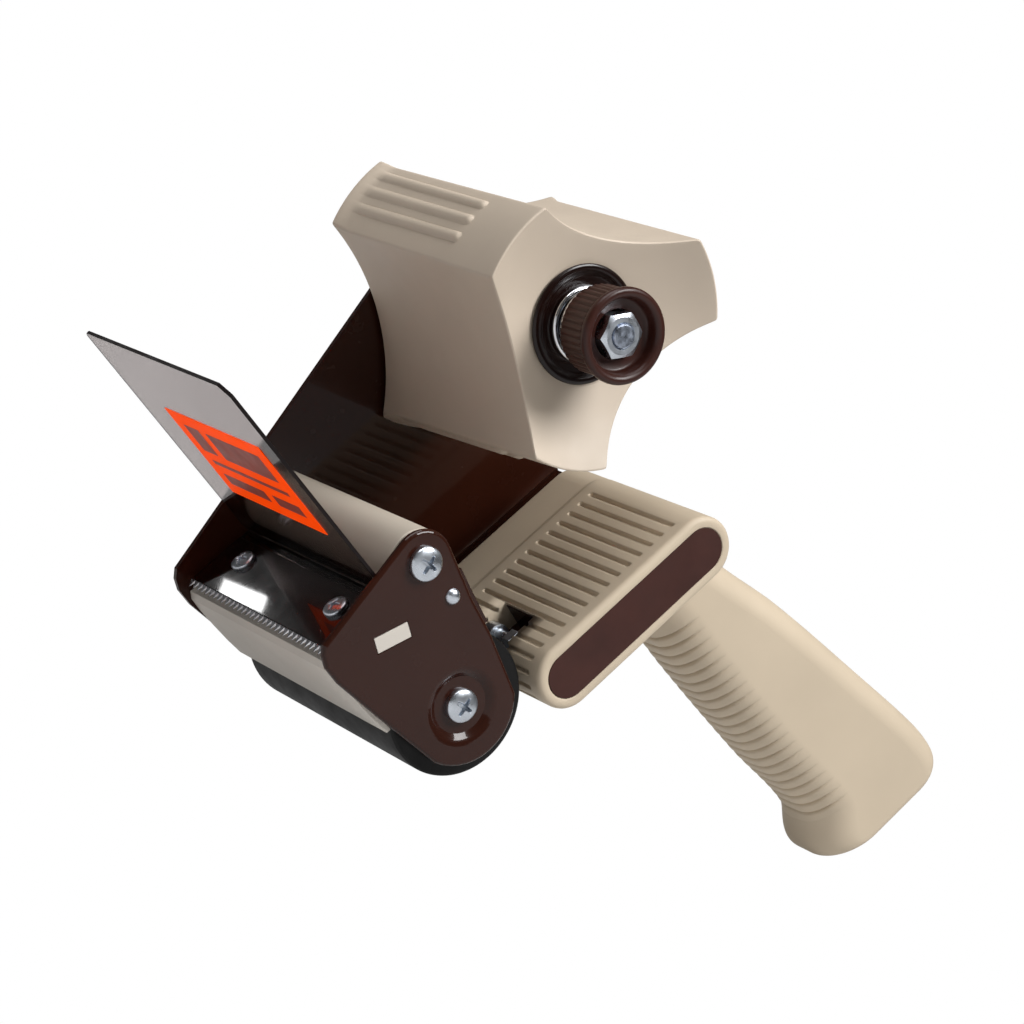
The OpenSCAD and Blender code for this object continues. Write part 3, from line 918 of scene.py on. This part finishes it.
def roll_edge(name, width, chosen):
    """Rounds one closed edge of the near cheek, given as a test on a vertex's place."""
    obj = frame["nodes"]["side_frame"]
    to_gun = GUN.inverted() @ obj.matrix_world
    group = obj.vertex_groups.new(name=name)
    for vertex in obj.data.vertices:
        x, y, z = to_gun @ vertex.co
        if abs(y - CHEEK_FACE) < 0.05 and chosen(x, z):
            group.add([vertex.index], 1.0, "REPLACE")
    roll = obj.modifiers.new(name, "BEVEL")
    roll.limit_method = "VGROUP"
    roll.vertex_group = name
    roll.width = width
    roll.segments = 5
    roll.use_clamp_overlap = False
    # It follows the weld and the flat faces, and goes before the bevel of the other edges.
    obj.modifiers.move(obj.modifiers.find(name), 2)
    # Bevels carry weights past 0 and 1, so each group ends with only its own vertices.
    weights = obj.modifiers.new(name + " weights", "VERTEX_WEIGHT_EDIT")
    weights.vertex_group = name
    weights.use_remove = True
    weights.remove_threshold = 1.0


def on_cheek_rim(x, z):
    """Tells the cheek's outline from its holes, the slot for the tape guide's tab and the dish."""
    from_lower = math.hypot(x - LOWER_AT[0], z - LOWER_AT[1])
    from_upper = math.hypot(x - UPPER_AT[0], z - UPPER_AT[1])
    from_tab = math.hypot(x - TAB_AT[0], z - TAB_AT[1])
    return from_lower > 12 and from_upper > 4 and from_tab > 6.5


def on_dish_rim(x, z):
    """Tells the rim of the dish round the lower screw."""
    return 9.5 < math.hypot(x - LOWER_AT[0], z - LOWER_AT[1]) < 10.1


def dress_nodes():
    dress("side_frame", ENAMEL, 0.3)
    dress("blade_bed", ENAMEL, 0.3)
    dress("flap_foot", SMOKY, 0.1)
    dress("flap_label", ORANGE, 0.03)
    dress("tape_guide", GUIDE_BEIGE, 0.35)
    dress("guide_roller", ROLLER_BEIGE, 0.6)
    dress("roller_core", ROLLER_BEIGE, 0.3)
    dress("rubber_sleeve", RUBBER, 0.7)
    dress("upper_axle", ZINC, 0.2)
    dress("lower_axle", ZINC, 0.2)
    dress("roller_washers", NYLON, 0.1)
    dress("hub_bushing", NYLON, 0.2)
    dress("hub_bolt", WORN, 0.5)
    dress("bolt_washer", ZINC, 0.15)
    dress("lock_nut", ZINC, 0.3)
    dress("thrust_washer", ZINC, 0.1)
    dress("label_plate", LABEL_BROWN, 0.15)
    dress("handle_screws", ZINC, 0.12)
    dress("tang_bolt", ZINC, 0.25)
    dress("tang_nut", ZINC, 0.2)


# ---------------------------------------------------------------- studio
def backdrop(nodes, links, lit, output):
    """Shows white to the camera, also through the flap, and the lit shader to all else."""
    white = nodes.new("ShaderNodeEmission")
    white.inputs["Strength"].default_value = 1.0
    path = nodes.new("ShaderNodeLightPath")
    direct = nodes.new("ShaderNodeMath")
    direct.operation = "SUBTRACT"
    direct.use_clamp = True
    either = nodes.new("ShaderNodeMath")
    either.operation = "MAXIMUM"
    mix = nodes.new("ShaderNodeMixShader")
    links.new(path.outputs["Is Camera Ray"], either.inputs[0])
    links.new(path.outputs["Is Transmission Ray"], direct.inputs[0])
    links.new(path.outputs["Glossy Depth"], direct.inputs[1])
    links.new(direct.outputs["Value"], either.inputs[1])
    links.new(either.outputs["Value"], mix.inputs["Fac"])
    links.new(lit, mix.inputs[1])
    links.new(white.outputs["Emission"], mix.inputs[2])
    links.new(mix.outputs["Shader"], output)


def make_floor():
    bm = bmesh.new()
    rings = []
    for r in (0.001, 0.3, 1.0, 3.0, 12.0):
        angles = spread(0, 2 * math.pi, 65)[:-1]
        rings.append([bm.verts.new((r * math.cos(a), r * math.sin(a), 0)) for a in angles])
    ring_faces(bm, rings)
    bm.faces.new(rings[0])
    mesh = bpy.data.meshes.new("floor")
    bm.to_mesh(mesh)
    bm.free()
    floor = bpy.data.objects.new("floor", mesh)
    bpy.context.scene.collection.objects.link(floor)
    finish = Finish("studio_floor", 0.9)
    finish.colour((0.3, 0.3, 0.3, 1), 0.01, 3.0)
    finish.set("Specular IOR Level", 0.1)
    finish.set("Emission Color", (1, 1, 1, 1))
    finish.set("Emission Strength", 0.3)
    output = finish.nodes["Material Output"].inputs["Surface"]
    backdrop(finish.nodes, finish.links, finish.shader.outputs["BSDF"], output)
    mesh.materials.append(finish.material)


def make_world():
    world = bpy.data.worlds.new("studio")
    bpy.context.scene.world = world
    world.use_nodes = True
    nodes = world.node_tree.nodes
    dim = nodes["Background"]
    dim.inputs["Color"].default_value = (1, 1, 1, 1)
    dim.inputs["Strength"].default_value = 0.08
    output = nodes["World Output"].inputs["Surface"]
    backdrop(nodes, world.node_tree.links, dim.outputs["Background"], output)


def softbox(name, toward, distance, size, power, aim=(-0.02, 0, 0.07), along=(0, 0, 1)):
    """Area light out in a direction from the place it is aimed at, with one side along another."""
    data = bpy.data.lights.new(name, "AREA")
    data.shape = "RECTANGLE"
    data.size, data.size_y = size
    data.energy = power
    light = bpy.data.objects.new(name, data)
    bpy.context.scene.collection.objects.link(light)
    away = Vector(toward).normalized()
    side = Vector(along).cross(away).normalized()
    axes = Matrix((side, away.cross(side), away)).transposed()
    light.matrix_world = Matrix.Translation(Vector(aim) + away * distance) @ axes.to_4x4()
    return light


# The glint's window shows in the blade plate at GLINT_AT, level with its teeth.
GLINT_AT = (-103.5, 15.1, -17.3)
GLINT_TOWARD = (-0.274, 0.849, 0.453)
GLINT_ALONG = (0.34, 0.59, -0.74)
CAMERA_AT = (-270.60, -640.01, 350.25)
CAMERA_RIGHT = (0.7095, -0.5426, -0.4499)
CAMERA_UP = (0.6370, 0.2200, 0.7389)
CAMERA_BACK = (-0.3019, -0.8107, 0.5017)
CAMERA_LENS = 103.78


def make_lights():
    softbox("key", (0.24, -0.63, 0.74), 1.3, (0.6, 0.6), 17.5)
    softbox("top", (-0.35, -0.1, 0.93), 1.3, (0.9, 0.9), 9)
    blade = GUN @ Vector(GLINT_AT)
    glint = softbox("glint", GLINT_TOWARD, 0.7, (0.0085, 0.023), 0.022, blade, GLINT_ALONG)
    glint.visible_diffuse = False


def make_camera():
    data = bpy.data.cameras.new("camera")
    data.sensor_width = 36
    data.lens = CAMERA_LENS
    camera = bpy.data.objects.new("camera", data)
    bpy.context.scene.collection.objects.link(camera)
    turn = Matrix.Rotation(LEAN, 3, "Y")
    axes = Matrix((CAMERA_RIGHT, CAMERA_UP, CAMERA_BACK)).transposed()
    rotation = (turn @ axes).to_4x4()
    camera.matrix_world = Matrix.Translation(GUN @ Vector(CAMERA_AT)) @ rotation
    bpy.context.scene.camera = camera


dress_nodes()
make_hub()
make_disc()
make_spring()
make_knob()
hex_nut("knob_hex_nut", -47.2, -41.6, 11.1, 3.2, "knob", "knob_nut")
make_screws()
make_blade()
make_teeth()
make_flap()
make_print()
make_block()
make_grip()
make_stud()
make_notch_shade_liner()
make_bend()
roll_edge("rolled dish", ROLLED_EDGE, on_dish_rim)
roll_edge("rolled rim", ROLLED_EDGE, on_cheek_rim)
make_floor()
make_world()
make_lights()
make_camera()
